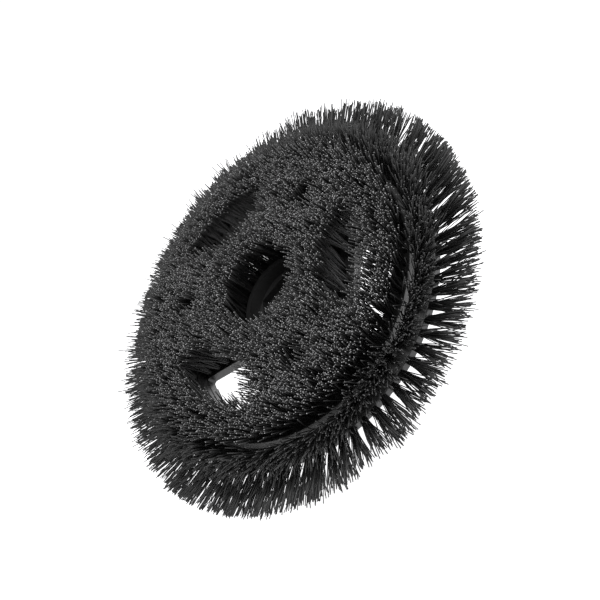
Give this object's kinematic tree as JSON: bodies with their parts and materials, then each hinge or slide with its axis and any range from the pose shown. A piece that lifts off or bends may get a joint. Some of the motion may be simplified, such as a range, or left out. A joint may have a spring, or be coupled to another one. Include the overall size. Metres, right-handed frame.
{
  "type": "wheel brush",
  "caption": "Round wheel-washing brush: a moulded plate with a hub ring, a raised edge and water openings, set with upright, leaning and radial bristle tufts.",
  "frame": {"origin": "centre of the plate's flat back face, on the brush axis", "axes": "+Z along the brush axis, the way the face tufts point; +X through the middle of one spoke and its screw hole"},
  "size_m": [0.45, 0.45, 0.074],
  "materials": {
    "plate_plastic": "moulded black polypropylene, satin",
    "face_bristle": "black filament, cut ends paler",
    "bevel_bristle": "black filament, cut ends paler",
    "rim_bristle": "black filament",
    "anchor_wire": "flat drawn steel wire"
  },
  "bodies": {
    "root": {"brush_plate": "plate_plastic", "face_tufts_row_1": "face_bristle", "face_tufts_row_2": "face_bristle", "face_tufts_row_3": "face_bristle", "face_tufts_row_4": "face_bristle", "face_tufts_row_5": "face_bristle", "face_tufts_row_6": "face_bristle", "face_tufts_row_7": "face_bristle", "face_tufts_row_8": "face_bristle", "bevel_tufts": "bevel_bristle", "rim_tufts": "rim_bristle", "face_anchors_row_1": "anchor_wire", "face_anchors_row_2": "anchor_wire", "face_anchors_row_3": "anchor_wire", "face_anchors_row_4": "anchor_wire", "face_anchors_row_5": "anchor_wire", "face_anchors_row_6": "anchor_wire", "face_anchors_row_7": "anchor_wire", "face_anchors_row_8": "anchor_wire", "bevel_anchors": "anchor_wire", "rim_anchors": "anchor_wire"}
  },
  "joints": []
}
